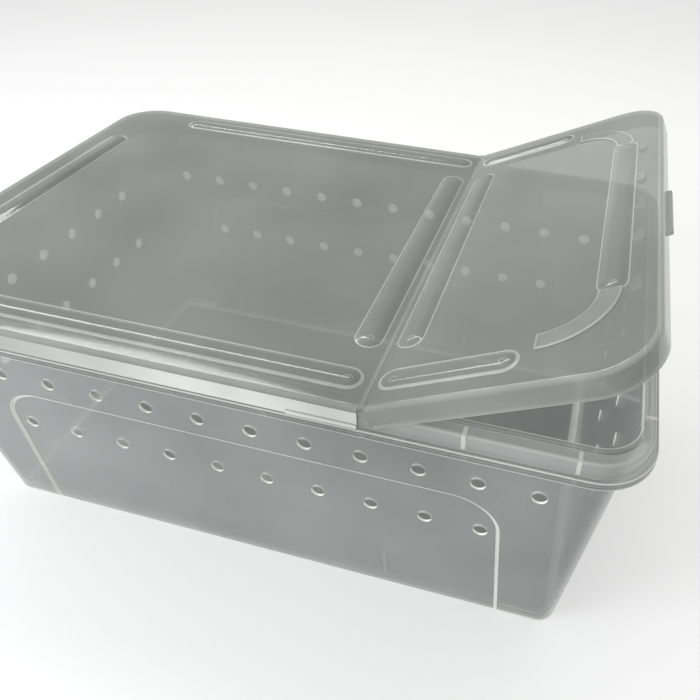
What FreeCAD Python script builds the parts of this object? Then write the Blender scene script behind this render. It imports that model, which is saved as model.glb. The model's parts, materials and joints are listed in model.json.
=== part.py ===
"""Ventilated breeding box: a drafted tub, and a press-fit lid with a living-hinged flap.

Frame: origin at the middle of the tub's base, on the surface it stands on. X runs along the box
towards the flap, Y towards its back and Z up. Sizes are millimetres.
"""
import FreeCAD, Part
import math
import os
import re
import Sketcher
from FreeCAD import Placement, Rotation, Vector

DIMENSIONS = (
    # tub: drafted walls
    ("base_length", 307.2, "outside of the tub at its base"),
    ("base_width", 184.2, "outside of the tub at its base"),
    ("base_radius", 9.5, "upright corner at the base"),
    ("mouth_length", 336.8, "outside of the walls at the flange"),
    ("mouth_width", 214.8, "outside of the walls at the flange"),
    ("mouth_radius", 16.5, "upright corner at the flange"),
    ("wall", 1.6, "wall thickness"),
    ("floor_skin", 2.0, "floor thickness"),
    # tub: arch panels on the long walls
    ("arch_top", 94.0, "height of the panel's upper edge"),
    ("arch_foot_half", 125.2, "half width of the panel at the base"),
    ("arch_head_half", 121.4, "half width where the corner arcs start"),
    ("arch_radius", 22.0, "corner arcs of the panel"),
    ("panel_step", 0.8, "depth of the panel's step"),
    # tub: vents
    ("vent_diameter", 6.4, "every vent"),
    ("upper_row", 105.7, "height of the upper row"),
    ("upper_first", 135.8, "X of the upper row's vent nearest the flap's end"),
    ("upper_pitch", 25.0, "spacing of the upper row"),
    ("lower_row", 70.0, "height of the lower row"),
    ("lower_pitch", 25.2, "spacing of the lower row, which is centred"),
    ("end_pitch", 25.0, "spacing of both rows on the end walls"),
    # tub: rim
    ("rim_radius", 24.0, "corner of the ledge in plan"),
    ("flange_top", 142.6, "top of the flange"),
    ("flange_skin", 1.5, "flange thickness"),
    ("lip_top", 144.5, "top of the inner lip"),
    ("lip_skin", 2.0, "lip thickness"),
    ("lip_inset", 0.4, "step from the wall's inner face out to the lip's"),
    ("rim_skin", 1.5, "thickness of the rim's skirt"),
    ("ledge_base", 131.7, "underside of the ledge"),
    ("ledge_top", 135.5, "top of the ledge, just under the lid's skirt"),
    ("ledge_out", 0.5, "how far the ledge stands past the lid"),
    ("groove_size", 0.4, "depth and height of the ledge's two grooves"),
    ("gusset_skin", 1.6, "gusset thickness"),
    ("gusset_foot", 119.5, "where a gusset runs out on the wall"),
    ("gusset_knee", 133.5, "where a gusset meets the rim's skirt"),
    ("gusset_pitch", 42.0, "spacing of the gussets"),
    ("foot_rib_top", 26.0, "upper end of the ribs low inside the long walls"),
    # lid
    ("lid_length", 350.0, "outside of the lid"),
    ("lid_width", 230.0, "outside of the lid"),
    ("lid_top", 146.3, "top of the lid's plate, shut"),
    ("lid_skin", 1.4, "lid thickness"),
    ("skirt_drop", 10.4, "from the lid's top to its skirt's lower edge"),
    ("fit_gap", 0.4, "clearance between lid and rim"),
    ("hinge_x", 65.5, "X of the living hinge"),
    ("hinge_gap", 0.9, "from the hinge's line to each plate's edge"),
    ("web_reach", 0.6, "how far the hinge web passes the hinge's line"),
    ("web_skin", 0.5, "thickness of the hinge web"),
    ("open_angle", 25.6, "how far the flap stands open, in degrees"),
    # lid: raised beads, hollow beneath
    ("bead_half", 5.4, "half width of a bead"),
    ("bead_rise", 1.6, "height of a bead"),
    ("long_bead_y", 99.8, "Y of the beads beside the long edges"),
    ("long_bead_start", 127.0, "reach of the panel's long beads from the middle"),
    ("cross_bead_inset", 9.5, "from the hinge to the cross bead on either side"),
    ("cross_bead_half", 80.0, "half length of the two cross beads"),
    ("end_bead_x", 156.5, "X of the beads beside the short edges"),
    ("end_bead_half", 68.0, "half length of the two end beads"),
    ("bead_end_gap", 4.2, "from the hinge to the ends of the long beads"),
    ("flap_bead_end", 125.2, "X where the flap's long beads end"),
    # lid: small features
    ("rib_x", 130.5, "X of the corner ribs' centres"),
    ("rib_y", 66.5, "Y of the corner ribs' centres"),
    ("rib_inner", 21.0, "inner radius of a corner rib"),
    ("rib_outer", 30.0, "outer radius of a corner rib"),
    ("rib_rise", 0.7, "height of a corner rib"),
    ("pad_long", 9.0, "locating pad, along the edge"),
    ("pad_short", 4.0, "locating pad, across the edge"),
    ("pad_drop", 2.6, "locating pad, below the plate"),
    ("tab_width", 38.0, "finger tab, along the edge"),
    ("tab_out", 2.0, "finger tab, past the skirt"),
    ("tab_height", 2.4, "finger tab, up from the skirt's lower edge"),
    ("clip_length", 29.0, "closing bead on the panel's skirt"),
    ("clip_height", 2.6, "closing bead, up from the skirt's lower edge"),
    ("clip_out", 0.5, "closing bead, past the skirt"),
)

UPPER_VENTS = 12
LOWER_VENTS = 10
END_VENTS = 6
SIDE_GUSSETS = 8
END_GUSSETS = 5
FOOT_RIBS_X = (-104.0, 67.0)
SIDE_PADS_X = (-109.0, -31.0, 46.4, 100.2)
END_PADS_Y = (-64.0, -28.0, 0.0, 28.0, 64.0)
LEDGE_GROOVES = (0.35, 0.7)

ALONG_X = Rotation(Vector(0, 1, 0), 90)
ALONG_Y = Rotation(Vector(1, 0, 0), -90)
UPRIGHT = Rotation(Vector(1, 0, 0), 90)

doc = FreeCAD.newDocument("BreedingBox")
ALIASES = {alias for alias, value, note in DIMENSIONS}


# ------------------------------------------------------------------ sheet and helpers

def make_sheet():
    """Put every driving dimension in a spreadsheet, one aliased cell each."""
    dims = doc.addObject("Spreadsheet::Sheet", "Dims")
    for row, (alias, value, note) in enumerate(DIMENSIONS, start=1):
        dims.set("A%d" % row, alias)
        dims.set("B%d" % row, str(value))
        dims.set("C%d" % row, note)
        dims.setAlias("B%d" % row, alias)
    doc.recompute()
    return dims


def from_sheet(match):
    """Point one word of an expression at the sheet when it names a dimension."""
    word = match.group()
    return "Dims." + word if word in ALIASES else word


def bind(item, prop, expression):
    """Bind a property to an expression written with the sheet's names."""
    item.setExpression(prop, re.sub("[a-z_]+", from_sheet, str(expression)))


def place(item, x, y, z):
    """Bind the three coordinates of an object's position."""
    bind(item, "Placement.Base.x", x)
    bind(item, "Placement.Base.y", y)
    bind(item, "Placement.Base.z", z)


def cut(name, base, tool):
    """The base less the tool."""
    item = doc.addObject("Part::Cut", name)
    item.Base = base
    item.Tool = tool
    return item


def common(name, base, tool):
    """What the base and the tool share."""
    item = doc.addObject("Part::Common", name)
    item.Base = base
    item.Tool = tool
    return item


def fuse(name, items):
    """The union of several solids."""
    item = doc.addObject("Part::MultiFuse", name)
    item.Shapes = items
    return item


def outline(name, length, width, radius, height):
    """A level rounded rectangle about the Z axis, fully constrained."""
    half_x, half_y, corner = 150.0, 100.0, 15.0
    x, y = half_x - corner, half_y - corner
    sketch = doc.addObject("Sketcher::SketchObject", name)
    sides = (
        ((-x, -half_y), (x, -half_y)),
        ((half_x, -y), (half_x, y)),
        ((x, half_y), (-x, half_y)),
        ((-half_x, y), (-half_x, -y)),
    )
    centres = ((x, -y), (x, y), (-x, y), (-x, -y))
    for turn, (side, centre) in enumerate(zip(sides, centres)):
        sketch.addGeometry(Part.LineSegment(Vector(*side[0]), Vector(*side[1])))
        circle = Part.Circle(Vector(*centre), Vector(0, 0, 1), corner)
        start = (turn - 1) * math.pi / 2
        sketch.addGeometry(Part.ArcOfCircle(circle, start, start + math.pi / 2))
    for piece in range(8):
        sketch.addConstraint(Sketcher.Constraint("Tangent", piece, 2, (piece + 1) % 8, 1))
    for kind, line in (("Horizontal", 0), ("Vertical", 2), ("Horizontal", 4), ("Vertical", 6)):
        sketch.addConstraint(Sketcher.Constraint(kind, line))
    for arc in (3, 5, 7):
        sketch.addConstraint(Sketcher.Constraint("Equal", 1, arc))
    sized = (
        (Sketcher.Constraint("Radius", 1, corner), radius),
        (Sketcher.Constraint("DistanceX", -1, 1, 2, 1, half_x), "(%s) / 2" % length),
        (Sketcher.Constraint("DistanceX", 6, 1, -1, 1, half_x), "(%s) / 2" % length),
        (Sketcher.Constraint("DistanceY", 0, 1, -1, 1, half_y), "(%s) / 2" % width),
        (Sketcher.Constraint("DistanceY", -1, 1, 4, 1, half_y), "(%s) / 2" % width),
    )
    for constraint, expression in sized:
        index = sketch.addConstraint(constraint)
        bind(sketch, "Constraints[%d]" % index, expression)
    bind(sketch, "Placement.Base.z", height)
    return sketch


def block(name, length, width, radius, base, top):
    """An upright prism with rounded corners, from the height base to the height top."""
    item = doc.addObject("Part::Extrusion", name)
    item.Base = outline(name + "Outline", length, width, radius, base)
    item.DirMode = "Normal"
    item.Solid = True
    bind(item, "LengthFwd", "(%s) - (%s)" % (top, base))
    return item


def drafted(name, foot, mouth):
    """A solid between two level outlines, each a (length, width, radius, height)."""
    item = doc.addObject("Part::Loft", name)
    item.Sections = [outline(name + "Foot", *foot), outline(name + "Mouth", *mouth)]
    item.Solid = True
    item.Ruled = True
    return item


def box(name, x_range, y_range, z_range):
    """A box between two expressions on each axis."""
    item = doc.addObject("Part::Box", name)
    for prop, (low, high) in zip(("Length", "Width", "Height"), (x_range, y_range, z_range)):
        bind(item, prop, "(%s) - (%s)" % (high, low))
    place(item, x_range[0], y_range[0], z_range[0])
    return item


def wedge(name, foot, head, base, top):
    """A solid between two level rectangles, each ((x low, x high), (y low, y high))."""
    item = doc.addObject("Part::Wedge", name)
    for prefix, ((x_low, x_high), (y_low, y_high)) in (("", foot), ("2", head)):
        bind(item, "X%smin" % prefix, x_low)
        bind(item, "X%smax" % prefix, x_high)
        bind(item, "Z%smin" % prefix, "-(%s)" % y_high)
        bind(item, "Z%smax" % prefix, "-(%s)" % y_low)
    bind(item, "Ymin", base)
    bind(item, "Ymax", top)
    item.Placement.Rotation = UPRIGHT
    return item


def rod(name, radius, length, rotation, x, y, z):
    """A cylinder that starts at x, y, z and runs along the rotated Z axis."""
    item = doc.addObject("Part::Cylinder", name)
    bind(item, "Radius", radius)
    bind(item, "Height", length)
    item.Placement.Rotation = rotation
    place(item, x, y, z)
    return item


def ball(name, radius, x, y, z):
    """A sphere about a point."""
    item = doc.addObject("Part::Sphere", name)
    bind(item, "Radius", radius)
    place(item, x, y, z)
    return item


# ------------------------------------------------------------------ tub

def tub_walls():
    """The drafted outside, with the arch panels stepped in on both long walls."""
    walls = drafted(
        "Walls",
        ("base_length", "base_width", "base_radius", "0"),
        ("mouth_length", "mouth_width", "mouth_radius", "flange_top"),
    )
    return cut("SteppedWalls", walls, arch_step("OuterStep", "panel_step"))


def arch_step(name, depth):
    """What lies inside the arch and further out than depth below the wall's outer face."""
    along = ("-base_length", "base_length")
    foot = ("(%s) - base_width / 2" % depth, "base_width / 2 - (%s)" % depth)
    head = ("(%s) - mouth_width / 2" % depth, "mouth_width / 2 - (%s)" % depth)
    core = wedge(name + "Core", (along, foot), (along, head), "0", "flange_top")
    return cut(name, arch_prism(name + "Arch"), core)


def arch_prism(name):
    """The arch panel's outline carried across the whole box along Y."""
    foot, head, top, corner, below = 125.0, 121.0, 94.0, 22.0, -5.0
    knee = top - corner
    sketch = doc.addObject("Sketcher::SketchObject", name + "Outline")
    right = Part.Circle(Vector(head - corner, knee), Vector(0, 0, 1), corner)
    left = Part.Circle(Vector(corner - head, knee), Vector(0, 0, 1), corner)
    sketch.addGeometry(Part.LineSegment(Vector(-foot, below), Vector(foot, below)))
    sketch.addGeometry(Part.LineSegment(Vector(foot, below), Vector(head, knee)))
    sketch.addGeometry(Part.ArcOfCircle(right, 0, math.pi / 2))
    sketch.addGeometry(Part.LineSegment(Vector(head - corner, top), Vector(corner - head, top)))
    sketch.addGeometry(Part.ArcOfCircle(left, math.pi / 2, math.pi))
    sketch.addGeometry(Part.LineSegment(Vector(-head, knee), Vector(-foot, below)))
    for first, second in ((0, 1), (5, 0)):
        sketch.addConstraint(Sketcher.Constraint("Coincident", first, 2, second, 1))
    for first, second in ((2, 3), (3, 4)):
        sketch.addConstraint(Sketcher.Constraint("Tangent", first, 2, second, 1))
    sketch.addConstraint(Sketcher.Constraint("Tangent", 1, 2, 2, 1))
    sketch.addConstraint(Sketcher.Constraint("Tangent", 4, 2, 5, 1))
    sketch.addConstraint(Sketcher.Constraint("Equal", 2, 4))
    sketch.addConstraint(Sketcher.Constraint("Symmetric", 0, 1, 0, 2, -2))
    sketch.addConstraint(Sketcher.Constraint("Symmetric", 3, 1, 3, 2, -2))
    sized = (
        (Sketcher.Constraint("Radius", 2, corner), "arch_radius"),
        (Sketcher.Constraint("DistanceX", -1, 1, 0, 2, foot), "arch_foot_half"),
        (Sketcher.Constraint("DistanceY", 0, 2, -1, 1, -below), "5"),
        (Sketcher.Constraint("DistanceY", -1, 1, 3, 1, top), "arch_top"),
        (Sketcher.Constraint("DistanceX", -1, 1, 1, 2, head), "arch_head_half"),
    )
    for constraint, expression in sized:
        index = sketch.addConstraint(constraint)
        bind(sketch, "Constraints[%d]" % index, expression)
    sketch.Placement.Rotation = UPRIGHT
    prism = doc.addObject("Part::Extrusion", name)
    prism.Base = sketch
    prism.DirMode = "Normal"
    prism.Solid = True
    prism.Symmetric = True
    bind(prism, "LengthFwd", "lid_width + 20")
    return prism


def tub_cavity():
    """The inside of the tub: drafted, stepped with the panels, above the floor and the ribs."""
    core = drafted(
        "Cavity",
        ("base_length - 2 * wall", "base_width - 2 * wall", "base_radius - wall", "0"),
        ("mouth_length - 2 * wall", "mouth_width - 2 * wall", "mouth_radius - wall", "flange_top"),
    )
    kept = [arch_step("InnerStep", "wall + panel_step")]
    kept.append(box("Floor", ("-base_length", "base_length"), ("-base_width", "base_width"),
                    ("-1", "floor_skin")))
    for index, x in enumerate(FOOT_RIBS_X):
        for side in (-1, 1):
            kept.append(foot_rib("FootRib%d%s" % (index, "Front" if side < 0 else "Back"), x, side))
    return cut("TubInside", core, fuse("KeptInside", kept))


def foot_rib(name, x, side):
    """A low upright rib that runs out upwards on the inside of a long wall."""
    along = ("%s - gusset_skin / 2" % x, "%s + gusset_skin / 2" % x)
    outside = "%d * mouth_width / 2" % side
    inside = "%d * (base_width / 2 - wall - panel_step - 1.8)" % side
    vanishing = "%d * (base_width / 2 + 0.2)" % side
    foot = (outside, inside) if side < 0 else (inside, outside)
    head = (outside, vanishing) if side < 0 else (vanishing, outside)
    return wedge(name, (along, foot), (along, head), "0", "foot_rib_top")


def gusset(name, offset, across_x):
    """A plate right across the tub whose ends become the gussets under the flange."""
    mouth, lid = ("mouth_length", "lid_length") if across_x else ("mouth_width", "lid_width")
    foot = "(%s / 2 - 3.9)" % mouth
    knee = "(%s / 2 - lid_skin - fit_gap - rim_skin / 2)" % lid
    thin = ("(%s) - gusset_skin / 2" % offset, "(%s) + gusset_skin / 2" % offset)
    lower = ("-" + foot, foot)
    upper = ("-" + knee, knee)
    if across_x:
        slope = wedge(name + "Slope", (lower, thin), (upper, thin), "gusset_foot", "gusset_knee")
        return [slope, box(name, upper, thin, ("gusset_knee", "flange_top - flange_skin / 2"))]
    slope = wedge(name + "Slope", (thin, lower), (thin, upper), "gusset_foot", "gusset_knee")
    return [slope, box(name, thin, upper, ("gusset_knee", "flange_top - flange_skin / 2"))]


def tub_rim():
    """Flange, outer skirt and grooved ledge, still solid over the tub's mouth."""
    skirt_inset = "2 * (lid_skin + fit_gap)"
    hollow_inset = "2 * (lid_skin + fit_gap + rim_skin)"
    skirt = block(
        "RimSkirt", "lid_length - " + skirt_inset, "lid_width - " + skirt_inset,
        "rim_radius - ledge_out - lid_skin - fit_gap", "ledge_base", "flange_top",
    )
    ledge = block(
        "Ledge", "lid_length + 2 * ledge_out", "lid_width + 2 * ledge_out", "rim_radius",
        "ledge_base", "ledge_top",
    )
    hollow = block(
        "RimHollow", "lid_length - " + hollow_inset, "lid_width - " + hollow_inset,
        "rim_radius - ledge_out - lid_skin - fit_gap - rim_skin", "ledge_base - 1",
        "flange_top - flange_skin",
    )
    rim = cut("Rim", fuse("RimSolid", [skirt, ledge]), hollow)
    grooves = [ledge_groove("Groove%d" % index, share) for index, share in enumerate(LEDGE_GROOVES)]
    return cut("GroovedRim", rim, fuse("Grooves", grooves))


def ledge_groove(name, share):
    """A ring cut into the ledge's outer face at a share of the ledge's height."""
    base = "ledge_base + %s * (ledge_top - ledge_base)" % share
    top = base + " + groove_size"
    around = block(
        name + "Outside", "lid_length + 2 * ledge_out + 4", "lid_width + 2 * ledge_out + 4",
        "rim_radius + 2", base, top,
    )
    within = block(
        name + "Inside", "lid_length + 2 * ledge_out - 2 * groove_size",
        "lid_width + 2 * ledge_out - 2 * groove_size", "rim_radius - groove_size",
        base + " - 1", top + " + 1",
    )
    return cut(name, around, within)


def tub_vents():
    """Bores along Y through both long walls, and bores along X through both end walls."""
    radius = "vent_diameter / 2"
    rows = (
        ("UpperVent", UPPER_VENTS, "upper_first - %d * upper_pitch", "upper_row"),
        ("LowerVent", LOWER_VENTS, "lower_pitch * (%s / 2 - %%d)" % (LOWER_VENTS - 1), "lower_row"),
    )
    long_walls = []
    end_walls = []
    for name, count, spacing, height in rows:
        for index in range(count):
            long_walls.append(rod("%s%d" % (name, index), radius, "2 * lid_width", ALONG_Y,
                                  spacing % index, "-lid_width", height))
        for index in range(END_VENTS):
            y = "end_pitch * (%s - %d)" % ((END_VENTS - 1) / 2, index)
            end_walls.append(rod("%sEnd%d" % (name, index), radius, "2 * lid_length", ALONG_X,
                                 "-lid_length", y, height))
    return fuse("LongWallVents", long_walls), fuse("EndWallVents", end_walls)


def make_tub():
    """The whole tub."""
    lip_inner = ("mouth_length - 2 * wall + 2 * lip_inset", "mouth_width - 2 * wall + 2 * lip_inset",
                 "mouth_radius - wall + lip_inset")
    lip_outer = (lip_inner[0] + " + 2 * lip_skin", lip_inner[1] + " + 2 * lip_skin",
                 lip_inner[2] + " + lip_skin")
    lip = block("Lip", *lip_outer, "flange_top - flange_skin", "lip_top")
    lip_hollow = block("LipHollow", *lip_inner, "flange_top", "lip_top + 2")
    solids = [tub_walls(), tub_rim(), lip]
    for index in range(SIDE_GUSSETS):
        x = "gusset_pitch * (%s - %d)" % ((SIDE_GUSSETS - 1) / 2, index)
        solids += gusset("SideGusset%d" % index, x, across_x=False)
    for index in range(END_GUSSETS):
        y = "gusset_pitch * (%s - %d)" % ((END_GUSSETS - 1) / 2, index)
        solids += gusset("EndGusset%d" % index, y, across_x=True)
    hollow = fuse("TubHollow", [tub_cavity(), lip_hollow])
    shell = cut("TubShell", fuse("TubSolid", solids), hollow)
    long_walls, end_walls = tub_vents()
    return cut("Tub", cut("TubVented", shell, long_walls), end_walls)


# ------------------------------------------------------------------ lid

BEAD_RADIUS = "((bead_half * bead_half + bead_rise * bead_rise) / (2 * bead_rise))"
BEAD_AXIS = "(lid_top + bead_rise - %s)" % BEAD_RADIUS


def bead(name, radius, start, end, offset, along_x):
    """A round bar with ball ends; its crest is the bead between start and end."""
    first, last = "(%s) + bead_half" % start, "(%s) - bead_half" % end
    length = "(%s) - (%s)" % (last, first)
    if along_x:
        ends = ((first, offset), (last, offset))
    else:
        ends = ((offset, first), (offset, last))
    bar = rod(name + "Bar", radius, length, ALONG_X if along_x else ALONG_Y, *ends[0], BEAD_AXIS)
    balls = []
    for index, (x, y) in enumerate(ends):
        balls.append(ball("%sBall%d" % (name, index), radius, x, y, BEAD_AXIS))
    return fuse(name, [bar] + balls)


def bead_set(name, radius):
    """Every bead of the lid at one radius: the outside, or the hollow beneath."""
    beads = []
    for side, y in (("Front", "-long_bead_y"), ("Back", "long_bead_y")):
        for label, start, end in (
            ("Panel", "-long_bead_start", "hinge_x - bead_end_gap"),
            ("Flap", "hinge_x + bead_end_gap", "flap_bead_end"),
        ):
            beads.append(bead(name + label + side, radius, start, end, y, along_x=True))
    crossings = (
        ("PanelEnd", "-end_bead_x", "end_bead_half"),
        ("PanelCross", "hinge_x - cross_bead_inset", "cross_bead_half"),
        ("FlapCross", "hinge_x + cross_bead_inset", "cross_bead_half"),
        ("FlapEnd", "end_bead_x", "end_bead_half"),
    )
    for label, x, half in crossings:
        beads.append(bead(name + label, radius, "-" + half, half, x, along_x=False))
    return fuse(name, beads)


def corner_rib(name, side):
    """A low flat quarter ring in a corner of the flap."""
    ring = []
    for label, radius in (("Outer", "rib_outer"), ("Inner", "rib_inner")):
        disc = rod(name + label, radius, "rib_rise + lid_skin / 2", Rotation(),
                   "rib_x", "%d * rib_y" % side, "lid_top - lid_skin / 2")
        disc.Angle = 90 if label == "Outer" else 360
        disc.Placement.Rotation = Rotation(Vector(0, 0, 1), 0 if side > 0 else -90)
        ring.append(disc)
    return cut(name, *ring)


def locating_pads():
    """Blocks under the lid that stand just inside the tub's lip."""
    height = ("lid_top - lid_skin - pad_drop", "lid_top - 0.3")
    inset = "wall + fit_gap"
    pads = []
    for side in (-1, 1):
        face = "%d * (mouth_width / 2 - (%s) - pad_short / 2)" % (side, inset)
        across = (face + " - pad_short / 2", face + " + pad_short / 2")
        for index, x in enumerate(SIDE_PADS_X):
            along = ("%s - pad_long / 2" % x, "%s + pad_long / 2" % x)
            pads.append(box("SidePad%d%s" % (index, "Front" if side < 0 else "Back"), along, across, height))
        face = "%d * (mouth_length / 2 - (%s) - pad_short / 2)" % (side, inset)
        across = (face + " - pad_short / 2", face + " + pad_short / 2")
        for index, y in enumerate(END_PADS_Y):
            along = ("%s - pad_long / 2" % y, "%s + pad_long / 2" % y)
            pads.append(box("EndPad%d%s" % (index, "Panel" if side < 0 else "Flap"), across, along, height))
    return pads


def skirt_details():
    """The finger tab on the flap's end and the closing beads beside the hinge."""
    foot = "lid_top - skirt_drop"
    tab = box("FingerTab", ("lid_length / 2 - lid_skin / 2", "lid_length / 2 + tab_out"),
              ("-tab_width / 2", "tab_width / 2"), (foot, foot + " + tab_height"))
    along = ("hinge_x - hinge_gap - clip_length", "hinge_x - hinge_gap")
    height = (foot, foot + " + clip_height")
    front = box("ClipFront", along, ("-lid_width / 2 - clip_out", "-lid_width / 2 + lid_skin / 2"), height)
    back = box("ClipBack", along, ("lid_width / 2 - lid_skin / 2", "lid_width / 2 + clip_out"), height)
    return [tab, front, back]


def make_lid():
    """The shut lid as one moulding, before the hinge divides it."""
    outer = block("LidOutside", "lid_length", "lid_width", "rim_radius - ledge_out",
                  "lid_top - skirt_drop", "lid_top")
    inner = block("LidInside", "lid_length - 2 * lid_skin", "lid_width - 2 * lid_skin",
                  "rim_radius - ledge_out - lid_skin", "lid_top - skirt_drop - 1", "lid_top - lid_skin")
    tray = cut("LidTray", outer, inner)
    above = box("AboveLid", ("-lid_length", "lid_length"), ("-lid_width", "lid_width"),
                ("lid_top - lid_skin / 2", "lid_top + 10"))
    crests = common("BeadCrests", bead_set("BeadOutside", BEAD_RADIUS), above)
    raised = fuse("LidRaised", [tray, crests])
    hollowed = cut("LidHollowed", raised, bead_set("BeadInside", BEAD_RADIUS + " - lid_skin"))
    details = [corner_rib("RibFront", -1), corner_rib("RibBack", 1)]
    return fuse("Lid", [hollowed] + details + locating_pads() + skirt_details())


def lid_side(name, lid, start, end):
    """The part of the lid between two X positions."""
    span = box(name + "Span", (start, end), ("-lid_width", "lid_width"), ("0", "2 * lid_top"))
    return common(name, lid, span)


# ------------------------------------------------------------------ assembly

sheet = make_sheet()
whole_lid = make_lid()
tub = make_tub()
lid_panel = lid_side("LidPanel", whole_lid, "-lid_length", "hinge_x - hinge_gap")
lid_flap = lid_side("LidFlap", whole_lid, "hinge_x + hinge_gap", "lid_length")
hinge_web = box(
    "HingeWeb", ("hinge_x - hinge_gap", "hinge_x + web_reach"),
    ("-lid_width / 2 + lid_skin / 2", "lid_width / 2 - lid_skin / 2"), ("lid_top - web_skin", "lid_top"),
)
hinge_line = Vector(sheet.hinge_x, 0, sheet.lid_top)
lid_flap.Placement = Placement(Vector(), Rotation(Vector(0, -1, 0), sheet.open_angle), hinge_line)

nodes = {"tub": tub, "lid_panel": lid_panel, "lid_flap": lid_flap, "hinge_web": hinge_web}
for label, node in nodes.items():
    node.Label = label
doc.recompute()

for item in doc.Objects:
    if "Invalid" in item.State or "Error" in item.State:
        raise RuntimeError("%s did not compute: %s" % (item.Name, item.State))
os.makedirs("parts", exist_ok=True)
for label, node in nodes.items():
    shape = node.Shape
    if shape.isNull() or not shape.isValid() or len(shape.Solids) != 1:
        raise RuntimeError("%s is not one valid solid" % label)
    shape.exportStep("parts/%s.step" % label)
    bounds = shape.BoundBox
    print("%-10s %8.1f cm3  X %7.2f %7.2f  Y %7.2f %7.2f  Z %7.2f %7.2f" % (
        label, shape.Volume / 1000, bounds.XMin, bounds.XMax, bounds.YMin, bounds.YMax,
        bounds.ZMin, bounds.ZMax))
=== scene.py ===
"""Looks of the ventilated breeding box: a clear tub, its lid panel, flap and living hinge.

Shapes are worked out in millimetres in the frame's own axes and turned into metres when a mesh is
made. Overall sizes come from the frame; the rest are the moulding's own small dimensions.
"""
import json
import math

import bmesh
import bpy
from mathutils import Matrix, Vector


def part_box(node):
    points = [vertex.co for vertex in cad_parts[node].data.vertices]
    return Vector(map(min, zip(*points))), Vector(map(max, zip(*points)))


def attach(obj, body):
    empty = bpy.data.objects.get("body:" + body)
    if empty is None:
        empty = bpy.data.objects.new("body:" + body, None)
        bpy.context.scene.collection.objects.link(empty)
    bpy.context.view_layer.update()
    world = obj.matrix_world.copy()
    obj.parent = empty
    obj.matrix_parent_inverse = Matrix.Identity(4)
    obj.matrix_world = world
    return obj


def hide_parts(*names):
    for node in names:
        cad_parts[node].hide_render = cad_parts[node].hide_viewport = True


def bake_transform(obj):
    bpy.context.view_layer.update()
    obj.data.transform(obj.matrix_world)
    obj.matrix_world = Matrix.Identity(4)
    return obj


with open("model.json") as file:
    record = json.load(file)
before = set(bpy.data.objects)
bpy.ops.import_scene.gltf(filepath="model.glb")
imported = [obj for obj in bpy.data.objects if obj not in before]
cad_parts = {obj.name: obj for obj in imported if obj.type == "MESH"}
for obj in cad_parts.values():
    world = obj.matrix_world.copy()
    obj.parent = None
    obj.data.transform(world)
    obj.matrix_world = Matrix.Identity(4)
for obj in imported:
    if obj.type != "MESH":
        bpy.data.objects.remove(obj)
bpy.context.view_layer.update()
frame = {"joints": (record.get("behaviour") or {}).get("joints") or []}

MM = 0.001
HINGE = next(joint for joint in frame["joints"] if joint["name"] == "flap_hinge")
HINGE_X = HINGE["pos_m"][0] / MM
LID_TOP = HINGE["pos_m"][2] / MM
OPEN_ANGLE = math.radians(-HINGE["range_deg"][0])
LID_HALF_X = -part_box("lid_panel")[0].x / MM
LID_HALF_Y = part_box("lid_flap")[1].y / MM
LIP_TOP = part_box("tub")[1].z / MM

# tub
BASE_HALF_X, BASE_HALF_Y, BASE_RADIUS = 153.6, 92.1, 9.5
MOUTH_HALF_X, MOUTH_HALF_Y, MOUTH_RADIUS = 168.4, 107.4, 16.5
WALL = 1.6
FLOOR = 2.0
# Both insets stay within the corner radius: with more, the flats' inner rings cross themselves.
UNDERSIDE_INSET, FLOOR_INSET = 8.0, 7.9
FLANGE_TOP = 142.6
FLANGE = 1.5
RIM_WALL = 1.5
LIP_OUT, LIP_IN = 0.8, 1.2
LEDGE_BASE, LEDGE_TOP, LEDGE_REACH = 131.7, 135.5, 0.5
LEDGE_GROOVES, GROOVE_DEPTH = (1.2, 2.5), 0.4
VENT_RADIUS = 3.2
UPPER_ROW, LOWER_ROW = 105.7, 70.0
ARCH_TOP, ARCH_FOOT, ARCH_HEAD, ARCH_RADIUS = 94.0, 125.2, 121.4, 22.0
PANEL_STEP = 0.8
GUSSET = 1.6
GUSSET_PITCH = 42.0
GUSSET_FOOT, GUSSET_KNEE = 119.5, 133.5
GUSSETS_LONG, GUSSETS_END = 8, 5
PROUD = 0.03
FOOT_RIB_PLACES = (-104.0, 67.0)
FOOT_RIB_TOP = 26.0
VENT_PITCH, LOWER_PITCH = 25.0, 25.2
UPPER_FIRST = 135.8
UPPER_VENTS, LOWER_VENTS, END_VENTS = 12, 10, 6

# lid
LID_RADIUS = 23.5
LID_SKIN = 1.4
LID_INSET = 10.0
SKIRT_BASE = LID_TOP - 10.4
FIT_GAP = 0.4
RIM_GAP = LID_SKIN + FIT_GAP
HINGE_GAP = 0.9
BEAD_HALF = 5.4
BEAD_RISE = 1.6
BEAD_LONG_Y, BEAD_END_X, BEAD_CROSS = 99.8, 156.5, 9.5
BEAD_HINGE_GAP = 4.2
BEAD_END_HALF, BEAD_CROSS_HALF = 68.0, 80.0
PANEL_BEAD_START, FLAP_BEAD_END = -127.0, 125.2
CORNER_RIB_CENTRE = (130.5, 66.5)
CORNER_RIB_OUTER, CORNER_RIB_INNER = 30.0, 21.0
PAD_HALF_LENGTH, PAD_HALF_WIDTH, PAD_RADIUS = 4.5, 2.0, 1.4
LONG_PADS = (-109.0, -31.0, 46.4, 100.2)
END_PADS = (-64.0, -28.0, 0.0, 28.0, 64.0)
TAB_HALF_X, TAB_HALF_Y = 1.5, 19.0
CLOSING_BEAD_HALF = 14.5

# stage: the floor's top lies a hair below the tub
STAGE_HALF, STAGE_BASE, STAGE_TOP = 4000.0, -20.0, -0.4

# looks: material indices, with soft, pale and bright lighter copies that paint light and
# highlights, and what a face lets through towards a lamp
CLEAR, SOFT_PAINTED_LIGHT, PALE_PAINTED_LIGHT, BRIGHT_PAINTED_LIGHT = range(4)
SHADOW_PASS = 0.87

ARC_STEPS = 12


# ------------------------------------------------------------------ mesh helpers

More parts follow.
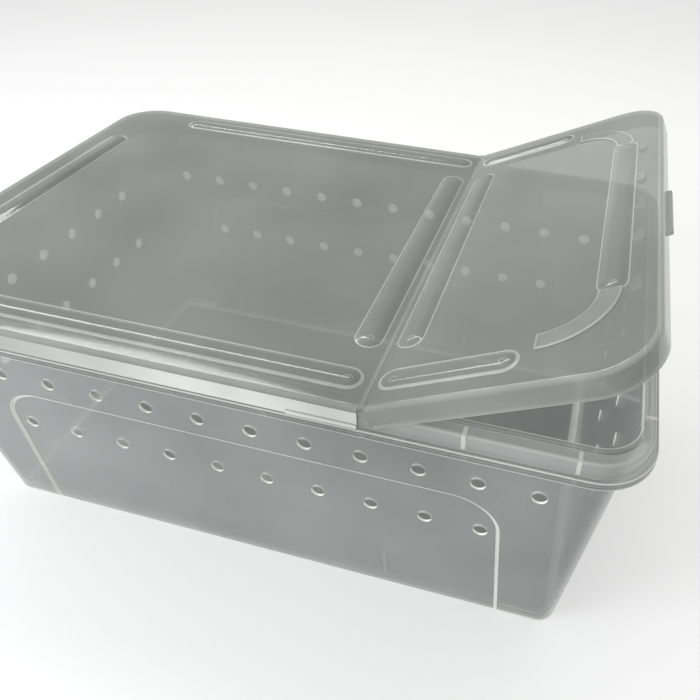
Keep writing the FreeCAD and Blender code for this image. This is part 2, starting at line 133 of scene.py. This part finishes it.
def new_object(name, bm):
    """A Blender object from a bmesh in millimetres."""
    bmesh.ops.recalc_face_normals(bm, faces=bm.faces)
    bmesh.ops.scale(bm, vec=(MM, MM, MM), verts=bm.verts)
    mesh = bpy.data.meshes.new(name)
    bm.to_mesh(mesh)
    bm.free()
    for _ in (CLEAR, SOFT_PAINTED_LIGHT, PALE_PAINTED_LIGHT, BRIGHT_PAINTED_LIGHT):
        mesh.materials.append(None)
    obj = bpy.data.objects.new(name, mesh)
    bpy.context.scene.collection.objects.link(obj)
    return obj


def add_loft(bm, rings, look=CLEAR, looks=None):
    """Add a closed solid through rings that have the same number of points.

    look is the solid's material index, and looks gives other ones for single gaps between rings.
    """
    looks = looks or {}
    loops = [[bm.verts.new(point) for point in ring] for ring in rings]
    count = len(loops[0])
    for gap, (low, high) in enumerate(zip(loops, loops[1:])):
        for index in range(count):
            after = (index + 1) % count
            face = bm.faces.new((low[index], low[after], high[after], high[index]))
            face.material_index = looks.get(gap, look)
    for cap in (bm.faces.new(reversed(loops[0])), bm.faces.new(loops[-1])):
        cap.material_index = look


def add_prism(bm, outline, offset):
    """Add a solid between an outline and the same outline moved by an offset, in the pale copy that
    paints light onto it.
    """
    add_loft(bm, (outline, [Vector(point) + Vector(offset) for point in outline]), PALE_PAINTED_LIGHT)


def rounded_ring(half_x, half_y, radius, z, centre=(0.0, 0.0), steps=ARC_STEPS):
    """A level rounded rectangle, as points."""
    points = []
    corners = ((1, -1, -90), (1, 1, 0), (-1, 1, 90), (-1, -1, 180))
    for sign_x, sign_y, start in corners:
        for step in range(steps + 1):
            angle = math.radians(start + 90 * step / steps)
            x = centre[0] + sign_x * (half_x - radius) + radius * math.cos(angle)
            y = centre[1] + sign_y * (half_y - radius) + radius * math.sin(angle)
            points.append(Vector((x, y, z)))
    return points


def capsule_ring(start, end, reach, z, steps=ARC_STEPS):
    """A level outline at a distance from the line between two points."""
    along = (Vector(end) - Vector(start)).normalized()
    heading = math.atan2(along.y, along.x)
    points = []
    for centre, first in ((end, heading - math.pi / 2), (start, heading + math.pi / 2)):
        for step in range(steps + 1):
            angle = first + math.pi * step / steps
            points.append(Vector((centre[0] + reach * math.cos(angle),
                                  centre[1] + reach * math.sin(angle), z)))
    return points


def soften(stations, steps=4):
    """Round a profile: each station is (sizes, cut), and its corner is cut back that far.

    A third item is the look of the rounded corner, the pale copy with its painted highlight if it
    isn't given, and a fourth one is the look of the straight run after it. Returns the rings' sizes
    and the looks of the gaps.
    """
    result = []
    looks = {}
    for index, (sizes, cut, *named) in enumerate(stations):
        if cut == 0:
            result.append(sizes)
            continue
        corner = named[0] if named else PALE_PAINTED_LIGHT
        run = named[1] if len(named) > 1 else CLEAR
        looks.update(dict.fromkeys(range(len(result), len(result) + steps), corner))
        looks[len(result) + steps] = run
        before, after = stations[index - 1][0], stations[index + 1][0]
        first = step_towards(sizes, before, cut)
        last = step_towards(sizes, after, cut)
        for step in range(steps + 1):
            share = step / steps
            result.append(tuple(
                (1 - share) ** 2 * a + 2 * share * (1 - share) * b + share ** 2 * c
                for a, b, c in zip(first, sizes, last)
            ))
    return result, looks


def step_towards(sizes, target, distance):
    """Move a station's sizes towards another's by a distance in the profile's plane."""
    length = math.hypot(target[1] - sizes[1], target[3] - sizes[3])
    share = min(distance / length, 0.48)
    return tuple(a + (b - a) * share for a, b in zip(sizes, target))


def bake(obj):
    """Apply the object's modifiers."""
    depsgraph = bpy.context.evaluated_depsgraph_get()
    mesh = bpy.data.meshes.new_from_object(obj.evaluated_get(depsgraph))
    obj.modifiers.clear()
    old = obj.data
    obj.data = mesh
    bpy.data.meshes.remove(old)


def combine(obj, tool, operation):
    """Join, cut or intersect a solid with a tool, which is used up."""
    modifier = obj.modifiers.new("Combine", "BOOLEAN")
    modifier.operation = operation
    modifier.solver = "MANIFOLD"
    modifier.object = tool
    bake(obj)
    bpy.data.objects.remove(tool)


def smooth(obj, angle=35):
    """Shade smoothly, with flat faces kept flat."""
    mesh = obj.data
    mesh.shade_smooth()
    mesh.set_sharp_from_angle(angle=math.radians(angle))
    modifier = obj.modifiers.new("Normals", "WEIGHTED_NORMAL")
    modifier.keep_sharp = True
    modifier.weight = 95
    bake(obj)


def add_profile(bm, stations):
    """Add the solid of a softened profile, with painted highlights on its rounded corners in the
    pale copy.
    """
    rings, looks = soften(stations)
    add_loft(bm, [rounded_ring(*sizes) for sizes in rings], looks=looks)


def finish_piece(obj, body, slot, materials, *nodes):
    """Give a piece its materials and its body, and hide the CAD nodes that it stands for."""
    for index, material in enumerate(materials):
        obj.data.materials[index] = material
    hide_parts(*nodes)
    if body:
        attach(obj, body)


# ------------------------------------------------------------------ tub

def wall_ring(z, inset):
    """Sizes of the drafted wall's outline at a height, moved in by an inset."""
    share = z / FLANGE_TOP
    return (
        BASE_HALF_X + share * (MOUTH_HALF_X - BASE_HALF_X) - inset,
        BASE_HALF_Y + share * (MOUTH_HALF_Y - BASE_HALF_Y) - inset,
        BASE_RADIUS + share * (MOUTH_RADIUS - BASE_RADIUS) - inset,
        z,
    )


def mouth_ring(z, inset):
    """Sizes of the mouth's outline carried to another height."""
    return wall_ring(FLANGE_TOP, inset)[:3] + (z,)


def lid_ring(z, inset):
    """Sizes of the lid's outline, moved in by an inset."""
    return (LID_HALF_X - inset, LID_HALF_Y - inset, LID_RADIUS - inset, z)


def half_width(z):
    """Distance from the middle to the long wall's outer face at a height."""
    return wall_ring(z, 0)[1]


def half_length(z):
    """Distance from the middle to the end wall's outer face at a height."""
    return wall_ring(z, 0)[0]


def tub_stations():
    """The tub's profile, from its underside up the outside, over the rim and down to its floor."""
    flange_under = FLANGE_TOP - FLANGE
    skirt_outer, skirt_inner, ledge = RIM_GAP, RIM_GAP + RIM_WALL, -LEDGE_REACH
    stations = [
        (wall_ring(0, UNDERSIDE_INSET), 0),
        (wall_ring(0, 0), 2.4),
        (wall_ring(flange_under, 0), 1.0),
        (lid_ring(flange_under, skirt_inner), 0.9),
        (lid_ring(LEDGE_BASE, skirt_inner), 0.4),
        (lid_ring(LEDGE_BASE, ledge), 0.6),
    ]
    for rise in LEDGE_GROOVES:
        groove = LEDGE_BASE + rise
        stations += [
            (lid_ring(groove, ledge), 0),
            (lid_ring(groove + 0.15, ledge + GROOVE_DEPTH), 0),
            (lid_ring(groove + 0.45, ledge + GROOVE_DEPTH), 0),
            (lid_ring(groove + 0.6, ledge), 0),
        ]
    return stations + [
        (lid_ring(LEDGE_TOP, ledge), 0.4),
        # painted light: the rim's outer skirt, the flange's top and their corners take the soft,
        # lighter copy
        (lid_ring(LEDGE_TOP, skirt_outer), 0.4, SOFT_PAINTED_LIGHT, SOFT_PAINTED_LIGHT),
        (lid_ring(FLANGE_TOP, skirt_outer), 1.8, SOFT_PAINTED_LIGHT, SOFT_PAINTED_LIGHT),
        (mouth_ring(FLANGE_TOP, -LIP_OUT), 0.5, SOFT_PAINTED_LIGHT),
        (mouth_ring(LIP_TOP, -LIP_OUT), 0.8, CLEAR),
        (mouth_ring(LIP_TOP, LIP_IN), 0.8),
        (mouth_ring(FLANGE_TOP, LIP_IN), 0.15, CLEAR),
        (wall_ring(FLANGE_TOP, WALL), 0.15, CLEAR),
        (wall_ring(FLOOR, WALL), 4.0),
        (wall_ring(FLOOR, WALL + FLOOR_INSET), 0),
    ]


def arch_outline(spread, foot):
    """The arch panel's outline in X and Z, spread outwards, down to a foot."""
    knee = ARCH_TOP - ARCH_RADIUS
    radius = ARCH_RADIUS + spread
    points = [(ARCH_FOOT + spread, foot)]
    for side, first in ((1, 0), (-1, 90)):
        for step in range(ARC_STEPS + 1):
            angle = math.radians(first + 90 * step / ARC_STEPS)
            points.append((side * (ARCH_HEAD - ARCH_RADIUS) + radius * math.cos(angle),
                           knee + radius * math.sin(angle)))
    points.append((-ARCH_FOOT - spread, foot))
    return points


def arch_plate(name, layers, foot, look):
    """Front and back plates over the arch; each layer is (spread, depth below the outer face)."""
    bm = bmesh.new()
    for side in (-1, 1):
        rings = []
        for spread, depth in layers:
            outline = arch_outline(spread, foot)
            rings.append([Vector((x, side * (half_width(z) - depth), z)) for x, z in outline])
        add_loft(bm, rings, looks=dict.fromkeys(range(len(layers)), look))
    return new_object(name, bm)


def foot_ribs():
    """Low ribs inside the long walls that run out upwards, in the pale copy that paints light along
    them.
    """
    bm = bmesh.new()
    foot, top, bite, stand = 1.0, FOOT_RIB_TOP, 1.2, 1.8
    inner = WALL + PANEL_STEP
    for x in FOOT_RIB_PLACES:
        for side in (-1, 1):
            profile = (
                (half_width(foot) - bite, foot),
                (half_width(foot) - inner - stand, foot),
                (half_width(top) - inner + 0.1, top),
                (half_width(top) - bite, top),
            )
            outline = [Vector((x - GUSSET / 2, side * y, z)) for y, z in profile]
            add_prism(bm, outline, (GUSSET, 0, 0))
    return new_object("FootRibs", bm)


def gusset_profile(half_span, skirt):
    """A gusset's outline as (distance from the middle, height), on walls half_span gives."""
    head = FLANGE_TOP + PROUD
    return (
        (half_span(GUSSET_FOOT) - 0.4, GUSSET_FOOT),
        (skirt, GUSSET_KNEE),
        (skirt, head),
        (half_span(head) - 0.8, head),
    )


def gussets():
    """Upright plates between walls and rim, a hair proud of the rim so that they show through, in
    the pale copy that paints light along them.
    """
    bm = bmesh.new()
    along_y = gusset_profile(half_width, LID_HALF_Y - RIM_GAP + PROUD)
    along_x = gusset_profile(half_length, LID_HALF_X - RIM_GAP + PROUD)
    for side in (-1, 1):
        for index in range(GUSSETS_LONG):
            x = GUSSET_PITCH * (index - (GUSSETS_LONG - 1) / 2) - GUSSET / 2
            add_prism(bm, [Vector((x, side * y, z)) for y, z in along_y], (GUSSET, 0, 0))
        for index in range(GUSSETS_END):
            y = GUSSET_PITCH * (index - (GUSSETS_END - 1) / 2) - GUSSET / 2
            add_prism(bm, [Vector((side * x, y, z)) for x, z in along_x], (0, GUSSET, 0))
    return new_object("Gussets", bm)


def vents():
    """Cutters for the vents, each flared a little at both faces of its wall.

    half lists distances from the wall's middle, each with what the vent's radius gains there.
    """
    bm = bmesh.new()
    half = ((0.62, 0.0), (0.8, 0.15), (1.0, 0.35), (3.0, 1.0))
    flare = [(-offset, extra) for offset, extra in reversed(half)] + list(half)
    upper = [UPPER_FIRST - VENT_PITCH * index for index in range(UPPER_VENTS)]
    lower = [LOWER_PITCH * ((LOWER_VENTS - 1) / 2 - index) for index in range(LOWER_VENTS)]
    ends = [VENT_PITCH * ((END_VENTS - 1) / 2 - index) for index in range(END_VENTS)]
    for side in (-1, 1):
        for row, places in ((UPPER_ROW, upper), (LOWER_ROW, lower)):
            for x in places:
                deep = PANEL_STEP if row == LOWER_ROW else 0
                middle = side * (half_width(row) - WALL / 2 - deep)
                add_vent(bm, Vector((x, middle, row)), Vector((0, 1, 0)), Vector((1, 0, 0)), flare)
            for y in ends:
                middle = side * (half_length(row) - WALL / 2)
                add_vent(bm, Vector((middle, y, row)), Vector((1, 0, 0)), Vector((0, 1, 0)), flare)
    return new_object("Vents", bm)


def add_vent(bm, centre, axis, across, flare, steps=32):
    """Add one vent's cutter, turned about an axis."""
    rings = []
    for offset, extra in flare:
        ring = []
        for step in range(steps):
            angle = 2 * math.pi * step / steps
            spoke = across * math.cos(angle) + Vector((0, 0, 1)) * math.sin(angle)
            ring.append(centre + axis * offset + spoke * (VENT_RADIUS + extra))
        rings.append(ring)
    # painted highlight: the bore takes the bright copy and its flares the pale one, for the lit
    # crescent in each vent
    add_loft(bm, rings, looks={2: PALE_PAINTED_LIGHT, 3: BRIGHT_PAINTED_LIGHT, 4: PALE_PAINTED_LIGHT})


def make_tub(materials):
    """The tub in one moulding."""
    bm = bmesh.new()
    add_profile(bm, tub_stations())
    tub = new_object("tub_body", bm)
    inner = ((1.2, 1.2), (1.0, 1.5), (0.7, 1.75), (-0.3, 2.25), (-0.9, 2.4))
    combine(tub, arch_plate("InnerStep", inner, 1.0, CLEAR), "UNION")
    combine(tub, foot_ribs(), "UNION")
    combine(tub, gussets(), "UNION")
    # the cutter's pale faces go to the arch step: a painted highlight along the panel's outline
    outer = ((-1.0, 0.8), (-0.55, 0.74), (0.35, 0.2), (0.8, 0.02), (1.2, -0.2), (1.6, -4.0))
    combine(tub, arch_plate("OuterStep", outer, -5.0, PALE_PAINTED_LIGHT), "DIFFERENCE")
    combine(tub, vents(), "DIFFERENCE")
    smooth(tub)
    finish_piece(tub, "tub", "tub_plastic", materials, "tub")


# ------------------------------------------------------------------ lid

CREST = ((1.2, -0.5), (0.9, 0.0), (0.3, 0.1), (-0.5, 0.45), (-1.6, 1.05), (-2.8, 1.43), (-4.2, 1.6))


def bead_lines():
    """The centre lines of every bead, as pairs of points with their round ends left off."""
    lines = []
    gap = BEAD_HINGE_GAP + BEAD_HALF
    for y in (-BEAD_LONG_Y, BEAD_LONG_Y):
        lines.append(((PANEL_BEAD_START + BEAD_HALF, y), (HINGE_X - gap, y)))
        lines.append(((HINGE_X + gap, y), (FLAP_BEAD_END - BEAD_HALF, y)))
    for side in (-1, 1):
        end_bead = (side * BEAD_END_X, BEAD_END_HALF)
        cross_bead = (HINGE_X + side * BEAD_CROSS, BEAD_CROSS_HALF)
        for x, half in (end_bead, cross_bead):
            lines.append(((x, BEAD_HALF - half), (x, half - BEAD_HALF)))
    return lines


def beads(name, shrink, drop, edge=CLEAR):
    """Every bead as a solid: the crest, or with a shrink and a drop the hollow beneath it."""
    bm = bmesh.new()
    for start, end in bead_lines():
        # edge is the look of the beads' foot rings; the crests get the pale copy there: a painted
        # light band round each bead
        edge_gaps = (1,) if start[0] == end[0] else (0, 1, 2)
        rings = [
            capsule_ring(start, end, BEAD_HALF + spread - shrink, LID_TOP + rise - drop)
            for spread, rise in CREST
        ]
        add_loft(bm, rings, looks=dict.fromkeys(edge_gaps, edge))
    return new_object(name, bm)


def pin_marks():
    """Low round bosses that the ejector pins leave inside the beads' ends, in the bright copy as
    painted glints.
    """
    bm = bmesh.new()
    under = LID_TOP + BEAD_RISE - LID_SKIN
    for line in bead_lines():
        for place in line:
            levels = ((1.7, under - 0.35), (2.0, under - 0.2), (2.15, under + 0.6))
            rings = [
                rounded_ring(radius, radius, radius - 0.01, z, place, 5) for radius, z in levels
            ]
            add_loft(bm, rings, looks={0: BRIGHT_PAINTED_LIGHT, 1: BRIGHT_PAINTED_LIGHT})
    return new_object("PinMarks", bm)


def corner_ribs():
    """Low flat quarter rings in the flap's corners."""
    bm = bmesh.new()
    centre_x, centre_y = CORNER_RIB_CENTRE
    # painted light: the front rib is in the soft, lighter copy and the back one clear, with pale
    # painted light on both ribs' edges
    for side, look in ((-1, SOFT_PAINTED_LIGHT), (1, CLEAR)):
        rings = []
        for inset, rise in ((0, -0.5), (0, 0.35), (0.25, 0.6), (0.8, 0.7)):
            ring = []
            for radius, turn in ((CORNER_RIB_OUTER - inset, 1), (CORNER_RIB_INNER + inset, -1)):
                for step in range(ARC_STEPS + 1):
                    share = step / ARC_STEPS if turn > 0 else 1 - step / ARC_STEPS
                    trim = inset / radius
                    angle = trim + share * (math.pi / 2 - 2 * trim)
                    x = centre_x + radius * math.cos(angle)
                    y = side * (centre_y + radius * math.sin(angle))
                    ring.append(Vector((x, y, LID_TOP + rise)))
            rings.append(ring)
        add_loft(bm, rings, look, {1: PALE_PAINTED_LIGHT, 2: PALE_PAINTED_LIGHT})
    return new_object("CornerRibs", bm)


def add_pad(bm, centre, half_x, half_y):
    """Add one locating block, with its lower edges rounded, in the pale copy that paints light onto
    it.
    """
    foot = LID_TOP - LID_SKIN - 2.6
    levels = ((0.6, foot), (0.2, foot + 0.2), (0, foot + 0.6), (0, LID_TOP - 0.4))
    rings = [
        rounded_ring(half_x - cut, half_y - cut, PAD_RADIUS - cut, z, centre, 4)
        for cut, z in levels
    ]
    add_loft(bm, rings, PALE_PAINTED_LIGHT)


def pads():
    """Locating blocks under the lid, just inside the tub's lip."""
    bm = bmesh.new()
    inset = WALL + FIT_GAP + PAD_HALF_WIDTH
    for side in (-1, 1):
        for x in LONG_PADS:
            add_pad(bm, (x, side * (MOUTH_HALF_Y - inset)), PAD_HALF_LENGTH, PAD_HALF_WIDTH)
        for y in END_PADS:
            add_pad(bm, (side * (MOUTH_HALF_X - inset), y), PAD_HALF_WIDTH, PAD_HALF_LENGTH)
    return new_object("Pads", bm)


def skirt_details():
    """The finger tab on the flap's end and the closing beads beside the hinge."""
    bm = bmesh.new()
    rises = ((0.5, 0), (0, 0.4), (0, 2.0), (0.5, 2.4))
    levels = [(cut, SKIRT_BASE + rise) for cut, rise in rises]
    centre = (LID_HALF_X + 0.5, 0)
    tab = [
        rounded_ring(TAB_HALF_X - cut, TAB_HALF_Y - cut, 0.9, z, centre, 4) for cut, z in levels
    ]
    add_loft(bm, tab)
    half = CLOSING_BEAD_HALF
    for side in (-1, 1):
        centre = (HINGE_X - HINGE_GAP - half, side * (LID_HALF_Y - 0.2))
        rings = [rounded_ring(half - cut, 0.7 - cut / 2, 0.35, z, centre, 4) for cut, z in levels]
        # the closing beads take the pale copy: painted light along them
        add_loft(bm, rings, PALE_PAINTED_LIGHT)
    return new_object("SkirtDetails", bm)


def make_lid_shell(name, start, end):
    """The part of the shut lid between two X positions."""
    stations = [
        (lid_ring(LID_TOP - LID_SKIN, LID_INSET), 0),
        (lid_ring(LID_TOP - LID_SKIN, LID_SKIN), 1.2),
        (lid_ring(SKIRT_BASE, LID_SKIN), 0.5),
        # painted light: the skirt's foot corner is pale, and the skirt and its top rounding are in
        # the soft, lighter copy
        (lid_ring(SKIRT_BASE, 0), 0.6, PALE_PAINTED_LIGHT, SOFT_PAINTED_LIGHT),
        (lid_ring(LID_TOP, 0), 2.2, SOFT_PAINTED_LIGHT),
        (lid_ring(LID_TOP, LID_INSET), 0),
    ]
    bm = bmesh.new()
    add_profile(bm, stations)
    lid = new_object(name, bm)
    # the crests' feet come out in the pale copy: painted light bands round the beads
    combine(lid, beads("Crests", 0, 0, PALE_PAINTED_LIGHT), "UNION")
    combine(lid, beads("Hollows", 0.9, LID_SKIN), "DIFFERENCE")
    combine(lid, pin_marks(), "UNION")
    combine(lid, corner_ribs(), "UNION")
    combine(lid, pads(), "UNION")
    combine(lid, skirt_details(), "UNION")
    bm = bmesh.new()
    centre = ((start + end) / 2, 0)
    half = (end - start) / 2
    add_loft(bm, [rounded_ring(half, 150, 0.1, z, centre, 1) for z in (100, 200)])
    combine(lid, new_object("Span", bm), "INTERSECT")
    smooth(lid)
    return lid


def make_panel(materials):
    """The lid's fixed panel, with painted light on the outer faces of its long skirts, in the
    bright copy.
    """
    panel = make_lid_shell("lid_panel_shell", -LID_HALF_X - 20, HINGE_X - HINGE_GAP)
    # painted light: the long skirts' outer faces take the bright copy
    for face in panel.data.polygons:
        if abs(face.center.y) > (LID_HALF_Y - 0.05) * MM and abs(face.normal.y) > 0.95:
            face.material_index = BRIGHT_PAINTED_LIGHT
    finish_piece(panel, "lid", "lid_plastic", materials, "lid_panel")


def make_flap(materials):
    """The lid's flap, turned open about the hinge."""
    flap = make_lid_shell("lid_flap_shell", HINGE_X + HINGE_GAP, LID_HALF_X + 20)
    pivot = Matrix.Translation((HINGE_X * MM, 0, LID_TOP * MM))
    flap.data.transform(pivot @ Matrix.Rotation(-OPEN_ANGLE, 4, "Y") @ pivot.inverted())
    finish_piece(flap, "flap", "lid_plastic", materials, "lid_flap")


def make_web(materials):
    """The bending strip of the living hinge, shaped to join panel and flap at the flap's angle
    here.
    """
    bm = bmesh.new()
    steps, thick = 8, 0.5
    half = LID_HALF_Y - LID_SKIN / 2
    rings = []
    for y in (-half, half):
        top, under = [], []
        for step in range(steps + 1):
            share = 2 * step / steps - 1
            turn = OPEN_ANGLE * max(share, 0)
            reach = (HINGE_GAP + 0.05) * share
            lift = Vector((-math.sin(turn), 0, math.cos(turn)))
            x = HINGE_X + reach * math.cos(turn)
            z = LID_TOP - 0.02 + reach * math.sin(turn)
            point = Vector((x, y, z))
            top.append(point)
            under.append(point - lift * thick)
        rings.append(top + under[::-1])
    # the strip is in the soft, lighter copy: a painted light line along the hinge
    add_loft(bm, rings, SOFT_PAINTED_LIGHT)
    web = new_object("hinge_strip", bm)
    smooth(web)
    finish_piece(web, None, "lid_plastic", materials, "hinge_web")
    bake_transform(web)


# ------------------------------------------------------------------ materials

def map_range(tree, value, source, target, smooth=False):
    """Map a value from one (low, high) range onto another."""
    node = tree.nodes.new("ShaderNodeMapRange")
    if smooth:
        node.interpolation_type = "SMOOTHSTEP"
    for name, number in zip(("From Min", "From Max", "To Min", "To Max"), (*source, *target)):
        node.inputs[name].default_value = number
    tree.links.new(value, node.inputs["Value"])
    return node.outputs["Result"]


def multiply(tree, first, second):
    """The product of two values, kept between 0 and 1."""
    node = tree.nodes.new("ShaderNodeMath")
    node.operation = "MULTIPLY"
    node.use_clamp = True
    tree.links.new(first, node.inputs[0])
    tree.links.new(second, node.inputs[1])
    return node.outputs["Value"]


def noise(tree, place, scale, detail=2):
    """A soft noise that stays fixed to the piece."""
    node = tree.nodes.new("ShaderNodeTexNoise")
    node.inputs["Scale"].default_value = scale
    node.inputs["Detail"].default_value = detail
    tree.links.new(place, node.inputs["Vector"])
    return node.outputs["Fac"]


def mix_shaders(tree, share, first, second):
    """Two shaders, with the second one's share."""
    node = tree.nodes.new("ShaderNodeMixShader")
    tree.links.new(share, node.inputs["Fac"])
    tree.links.new(first, node.inputs[1])
    tree.links.new(second, node.inputs[2])
    return node.outputs["Shader"]


def see_through(tree, tint):
    """Clear sheet of one tint, without refraction."""
    node = tree.nodes.new("ShaderNodeBsdfTransparent")
    node.inputs["Color"].default_value = (*tint, 1)
    return node.outputs["BSDF"]


def plastic(name, tint, milk, haze, edge_haze, rough, painted_light_fade=None):
    """Clear moulded plastic: tint is what one face lets through, milk the colour of its haze.

    haze is the milky share seen face on, and edge_haze the share where a face turns away. With a
    painted_light_fade, the haze grows along X between its two positions: painted light, lighter
    towards +X. Shadow rays pass nearly freely, as light does in the real plastic.
    """
    material = bpy.data.materials.new(name)
    material.use_nodes = True
    tree = material.node_tree
    tree.nodes.clear()
    node, link = tree.nodes.new, tree.links.new
    place = node("ShaderNodeTexCoord").outputs["Object"]
    weight = node("ShaderNodeLayerWeight")
    weight.inputs["Blend"].default_value = 0.5
    facing = weight.outputs["Facing"]

    share = map_range(tree, facing, (0.55, 1), (haze, edge_haze), smooth=True)
    # painted light: the haze, and so the face's lightness, grows along X
    if painted_light_fade:
        split = node("ShaderNodeSeparateXYZ")
        link(place, split.inputs["Vector"])
        span = [end * MM for end in painted_light_fade]
        painted_light_growth = map_range(tree, split.outputs["X"], span, (0.28, 1), smooth=True)
        share = multiply(tree, share, painted_light_growth)
    mottle = map_range(tree, noise(tree, place, 14, 3), (0.3, 0.7), (0.8, 1.2))
    share = multiply(tree, share, mottle)
    milky = node("ShaderNodeBsdfPrincipled")
    milky.inputs["Base Color"].default_value = (*milk, 1)
    milky.inputs["Roughness"].default_value = 0.5
    milky.inputs["IOR"].default_value = 1.49
    body = mix_shaders(tree, share, see_through(tree, tint), milky.outputs["BSDF"])

    ripple = node("ShaderNodeBump")
    ripple.inputs["Strength"].default_value = 0.004
    ripple.inputs["Distance"].default_value = 0.0005
    link(noise(tree, place, 12), ripple.inputs["Height"])
    shine = node("ShaderNodeBsdfGlossy")
    shine.inputs["Roughness"].default_value = rough
    link(ripple.outputs["Normal"], shine.inputs["Normal"])
    glance = node("ShaderNodeMath")
    glance.operation = "POWER"
    glance.inputs[1].default_value = 5
    link(facing, glance.inputs[0])
    gloss = map_range(tree, glance.outputs["Value"], (0, 1), (0.04, 1))
    surface = mix_shaders(tree, gloss, body, shine.outputs["BSDF"])

    shadow = node("ShaderNodeLightPath").outputs["Is Shadow Ray"]
    output = node("ShaderNodeOutputMaterial")
    passing = see_through(tree, (SHADOW_PASS, SHADOW_PASS, SHADOW_PASS))
    link(mix_shaders(tree, shadow, surface, passing), output.inputs["Surface"])
    return material


def floor_material():
    """A plain pale floor with a faint mottle."""
    material = bpy.data.materials.new("pale_floor")
    material.use_nodes = True
    tree = material.node_tree
    shader = tree.nodes["Principled BSDF"]
    mottle = tree.nodes.new("ShaderNodeTexNoise")
    mottle.inputs["Scale"].default_value = 3
    ramp = tree.nodes.new("ShaderNodeValToRGB")
    ramp.color_ramp.elements[0].color = (0.93, 0.93, 0.93, 1)
    ramp.color_ramp.elements[1].color = (0.96, 0.96, 0.96, 1)
    tree.links.new(mottle.outputs["Fac"], ramp.inputs["Fac"])
    tree.links.new(ramp.outputs["Color"], shader.inputs["Base Color"])
    shader.inputs["Roughness"].default_value = 0.9
    return material


# ------------------------------------------------------------------ stage, lights and camera

def make_floor():
    """A large pale floor."""
    bm = bmesh.new()
    add_loft(bm, [rounded_ring(STAGE_HALF, STAGE_HALF, 10, z) for z in (STAGE_BASE, STAGE_TOP)])
    floor = new_object("floor", bm)
    floor.data.materials.append(floor_material())


def add_light(name, place, target, size, power, colour):
    """A large soft light aimed at a point."""
    data = bpy.data.lights.new(name, "AREA")
    data.shape = "ELLIPSE"
    data.size, data.size_y = size
    data.energy = power
    data.color = colour
    light = bpy.data.objects.new(name, data)
    light.location = place
    light.rotation_euler = (Vector(target) - Vector(place)).to_track_quat("-Z", "Y").to_euler()
    bpy.context.scene.collection.objects.link(light)
    return light


def make_lights():
    """Soft studio light: a pale surround, a key, a top light and a sheen only reflections see."""
    world = bpy.data.worlds.new("surround")
    world.use_nodes = True
    world.node_tree.nodes["Background"].inputs["Color"].default_value = (1.0, 1.0, 1.0, 1)
    world.node_tree.nodes["Background"].inputs["Strength"].default_value = 0.85
    bpy.context.scene.world = world
    cool, warm, neutral = (0.94, 0.97, 1.0), (1.0, 0.98, 0.93), (1.0, 1.0, 1.0)
    key = add_light("key", (-1.1, -0.8, 0.55), (-0.12, -0.05, 0.1), (0.7, 0.5), 6.5, cool)
    top = add_light("top", (0.1, 0.35, 1.3), (0, 0, 0.1), (1.2, 0.15), 5, warm)
    sheen = add_light("sheen", (-1.0, 0.75, 1.3), (-1.0, 0.75, 0), (1.6, 0.36), 16, neutral)
    key.data.spread = math.radians(110)
    key.visible_glossy = False
    top.visible_glossy = False
    sheen.visible_diffuse = False


def make_camera():
    """The camera, at the viewing angle of the reference picture."""
    data = bpy.data.cameras.new("camera")
    data.lens = 36.12
    data.sensor_width = 36
    data.shift_x, data.shift_y = -0.1206, -0.0712
    camera = bpy.data.objects.new("camera", data)
    camera.location = (0.1325, -0.2868, 0.3326)
    turn = Matrix.Rotation(math.radians(13.15), 3, "Z")
    tilt = Matrix.Rotation(math.radians(90 - 36.45), 3, "X")
    roll = Matrix.Rotation(math.radians(2.5), 3, "Z")
    camera.rotation_euler = (turn @ tilt @ roll).to_euler()
    bpy.context.scene.collection.objects.link(camera)
    bpy.context.scene.camera = camera


# ------------------------------------------------------------------ assembly

# clear plastic first, then the soft, pale and bright lighter copies that paint light, highlights
# and glints
tub_plastics = (
    plastic("tub_clear", (0.585, 0.595, 0.59), (0.59, 0.61, 0.60), 0.22, 0.5, 0.08),
    plastic("tub_soft_painted_light", (0.60, 0.61, 0.60), (0.68, 0.69, 0.67), 0.30, 0.5, 0.10),
    plastic("tub_pale_painted_light", (0.68, 0.68, 0.67), (0.88, 0.88, 0.83), 0.45, 0.8, 0.12),
    plastic("tub_bright_painted_light", (0.70, 0.70, 0.68), (0.94, 0.94, 0.90), 0.85, 0.9, 0.15),
)
lid_plastics = (
    plastic("lid_clear", (0.49, 0.50, 0.48), (0.54, 0.56, 0.52), 0.20, 0.5, 0.06),
    plastic("lid_soft_painted_light", (0.53, 0.54, 0.52), (0.62, 0.64, 0.60), 0.24, 0.5, 0.08),
    plastic("lid_pale_painted_light", (0.64, 0.64, 0.62), (0.80, 0.81, 0.75), 0.30, 0.7, 0.10),
    plastic("lid_bright_painted_light", (0.56, 0.57, 0.55), (0.86, 0.87, 0.84), 0.58, 0.8, 0.10, painted_light_fade=(-155, 10)),
)
make_tub(tub_plastics)
make_panel(lid_plastics)
make_flap(lid_plastics)
make_web(lid_plastics)
make_floor()
make_lights()
make_camera()
bpy.context.scene.view_settings.view_transform = "Standard"
bpy.context.scene.cycles.transparent_max_bounces = 32
